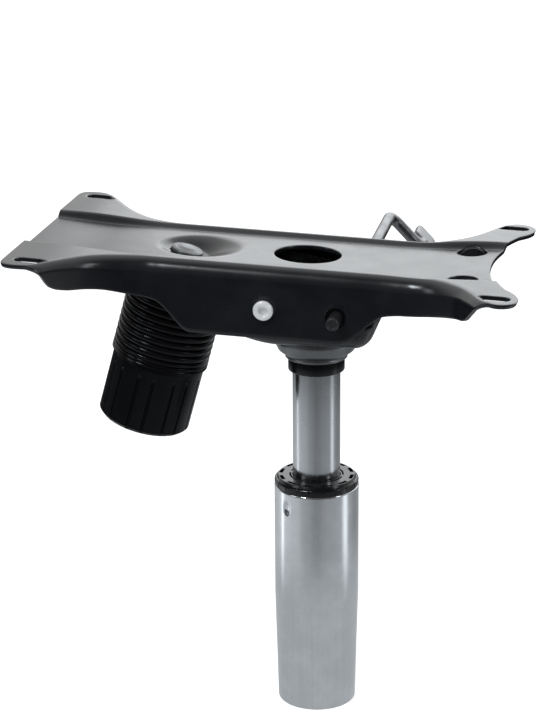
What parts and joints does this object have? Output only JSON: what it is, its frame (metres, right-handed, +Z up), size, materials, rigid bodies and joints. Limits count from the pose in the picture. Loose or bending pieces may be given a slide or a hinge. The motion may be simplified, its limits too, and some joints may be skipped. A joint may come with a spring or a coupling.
{
  "type": "office chair frame",
  "caption": "Upper frame of an office chair: pressed seat plate on a tilt hinge, leaning tension spring with ribbed boot and grip knob, release lever, and gas lift in its column.",
  "frame": {"origin": "centre of the column's lower face, on the axis of the gas lift", "axes": "+Z up along the gas lift; +X to the rear of the seat; +Y to the side that the release lever is on"},
  "size_m": [0.2842, 0.3171, 0.2892],
  "materials": {
    "black_powder_coat": "satin powder coat",
    "dark_powder_coat": "satin powder coat",
    "zinc_plate": "bright zinc plate",
    "grey_zinc_rod": "dull zinc plate",
    "black_pin_steel": "black oxide",
    "spring_steel": "oiled spring steel",
    "chrome_column": "satin chrome",
    "ground_steel_tube": "satin drawn steel",
    "black_nylon": "moulded",
    "knob_plastic": "fine-grained moulded",
    "boot_rubber": "satin",
    "seal_rubber": "satin",
    "bearing_brass": "turned",
    "polished_steel": "polished"
  },
  "bodies": {
    "column": {"column_tube": "chrome_column", "base_disc": "zinc_plate", "lower_race": "polished_steel", "guide_bushing": "black_nylon"},
    "bearing": {"ball_cage": "bearing_brass", "bearing_balls": "polished_steel"},
    "rod": {"piston_rod": "polished_steel", "piston": "bearing_brass", "upper_race": "polished_steel", "stop_damper": "seal_rubber", "clip_washer": "zinc_plate", "retaining_clip": "spring_steel"},
    "housing": {"lower_housing": "dark_powder_coat", "taper_hub": "dark_powder_coat", "hub_ring": "black_nylon", "pivot_axle": "zinc_plate", "pivot_nut": "zinc_plate", "lever_bush": "black_nylon", "release_bracket": "dark_powder_coat", "spring_seat": "zinc_plate", "boot": "boot_rubber", "tension_spring": "spring_steel", "gas_cylinder": "ground_steel_tube", "rod_guide": "bearing_brass", "cylinder_seal": "seal_rubber"},
    "seat": {"seat_plate": "black_powder_coat", "pivot_bushes": "black_nylon", "lock_guide": "black_nylon"},
    "lock": {"lock_pin": "black_pin_steel"},
    "valve": {"valve_button": "black_nylon"},
    "lever": {"lever_rod": "grey_zinc_rod", "release_finger": "grey_zinc_rod", "lever_clip": "spring_steel"},
    "bolt": {"tension_bolt": "zinc_plate"},
    "carrier": {"spring_washer": "zinc_plate"},
    "grip": {"knob": "knob_plastic", "knob_nut": "zinc_plate"}
  },
  "joints": [
    {"name": "swivel", "type": "hinge", "parent": "column", "child": "rod", "pos_m": [0, 0, 0.006], "axis": [0, 0, 1], "continuous": true},
    {"name": "bearing_roll", "type": "hinge", "parent": "column", "child": "bearing", "pos_m": [0, 0, 0.006], "axis": [0, 0, 1], "continuous": true},
    {"name": "lift", "type": "slide", "parent": "rod", "child": "housing", "axis": [0, 0, 1], "range_m": [-0.06, 0]},
    {"name": "tilt", "type": "hinge", "parent": "housing", "child": "seat", "pos_m": [-0.0226, 0, 0.2567], "axis": [0, 1, 0], "range_deg": [0, 12], "stiffness_Nm_per_rad": 40, "springref_deg": -2.86},
    {"name": "tilt_lock", "type": "slide", "parent": "seat", "child": "lock", "axis": [0, -1, 0], "range_m": [-0.008, 0]},
    {"name": "bolt_lift", "type": "slide", "parent": "housing", "child": "bolt", "axis": [0.2689, 0, 0.9632], "range_m": [0, 0.0145], "deforming": ["tension_spring", "boot"]},
    {"name": "knob_travel", "type": "slide", "parent": "bolt", "child": "carrier", "axis": [0.2689, 0, 0.9632], "range_m": [0, 0.007]},
    {"name": "knob_turn", "type": "hinge", "parent": "carrier", "child": "grip", "pos_m": [-0.09906, 0, 0.19273], "axis": [0.2689, 0, 0.9632], "range_deg": [0, 1445]},
    {"name": "lever_lift", "type": "hinge", "parent": "housing", "child": "lever", "pos_m": [0.018, 0, 0.2537], "axis": [0, -1, 0], "range_deg": [0, 12], "stiffness_Nm_per_rad": 0.5},
    {"name": "valve_press", "type": "slide", "parent": "housing", "child": "valve", "axis": [0, 0, -1], "range_m": [0, 0.0042]}
  ],
  "couplings": [
    {"joint": "bearing_roll", "follows": "swivel", "ratio": 0.5},
    {"joint": "bolt_lift", "follows": "tilt", "m_per_rad": 0.068},
    {"joint": "knob_turn", "follows": "knob_travel", "rad_per_m": 3590.4},
    {"joint": "valve_press", "follows": "lever_lift", "m_per_rad": 0.0185}
  ]
}
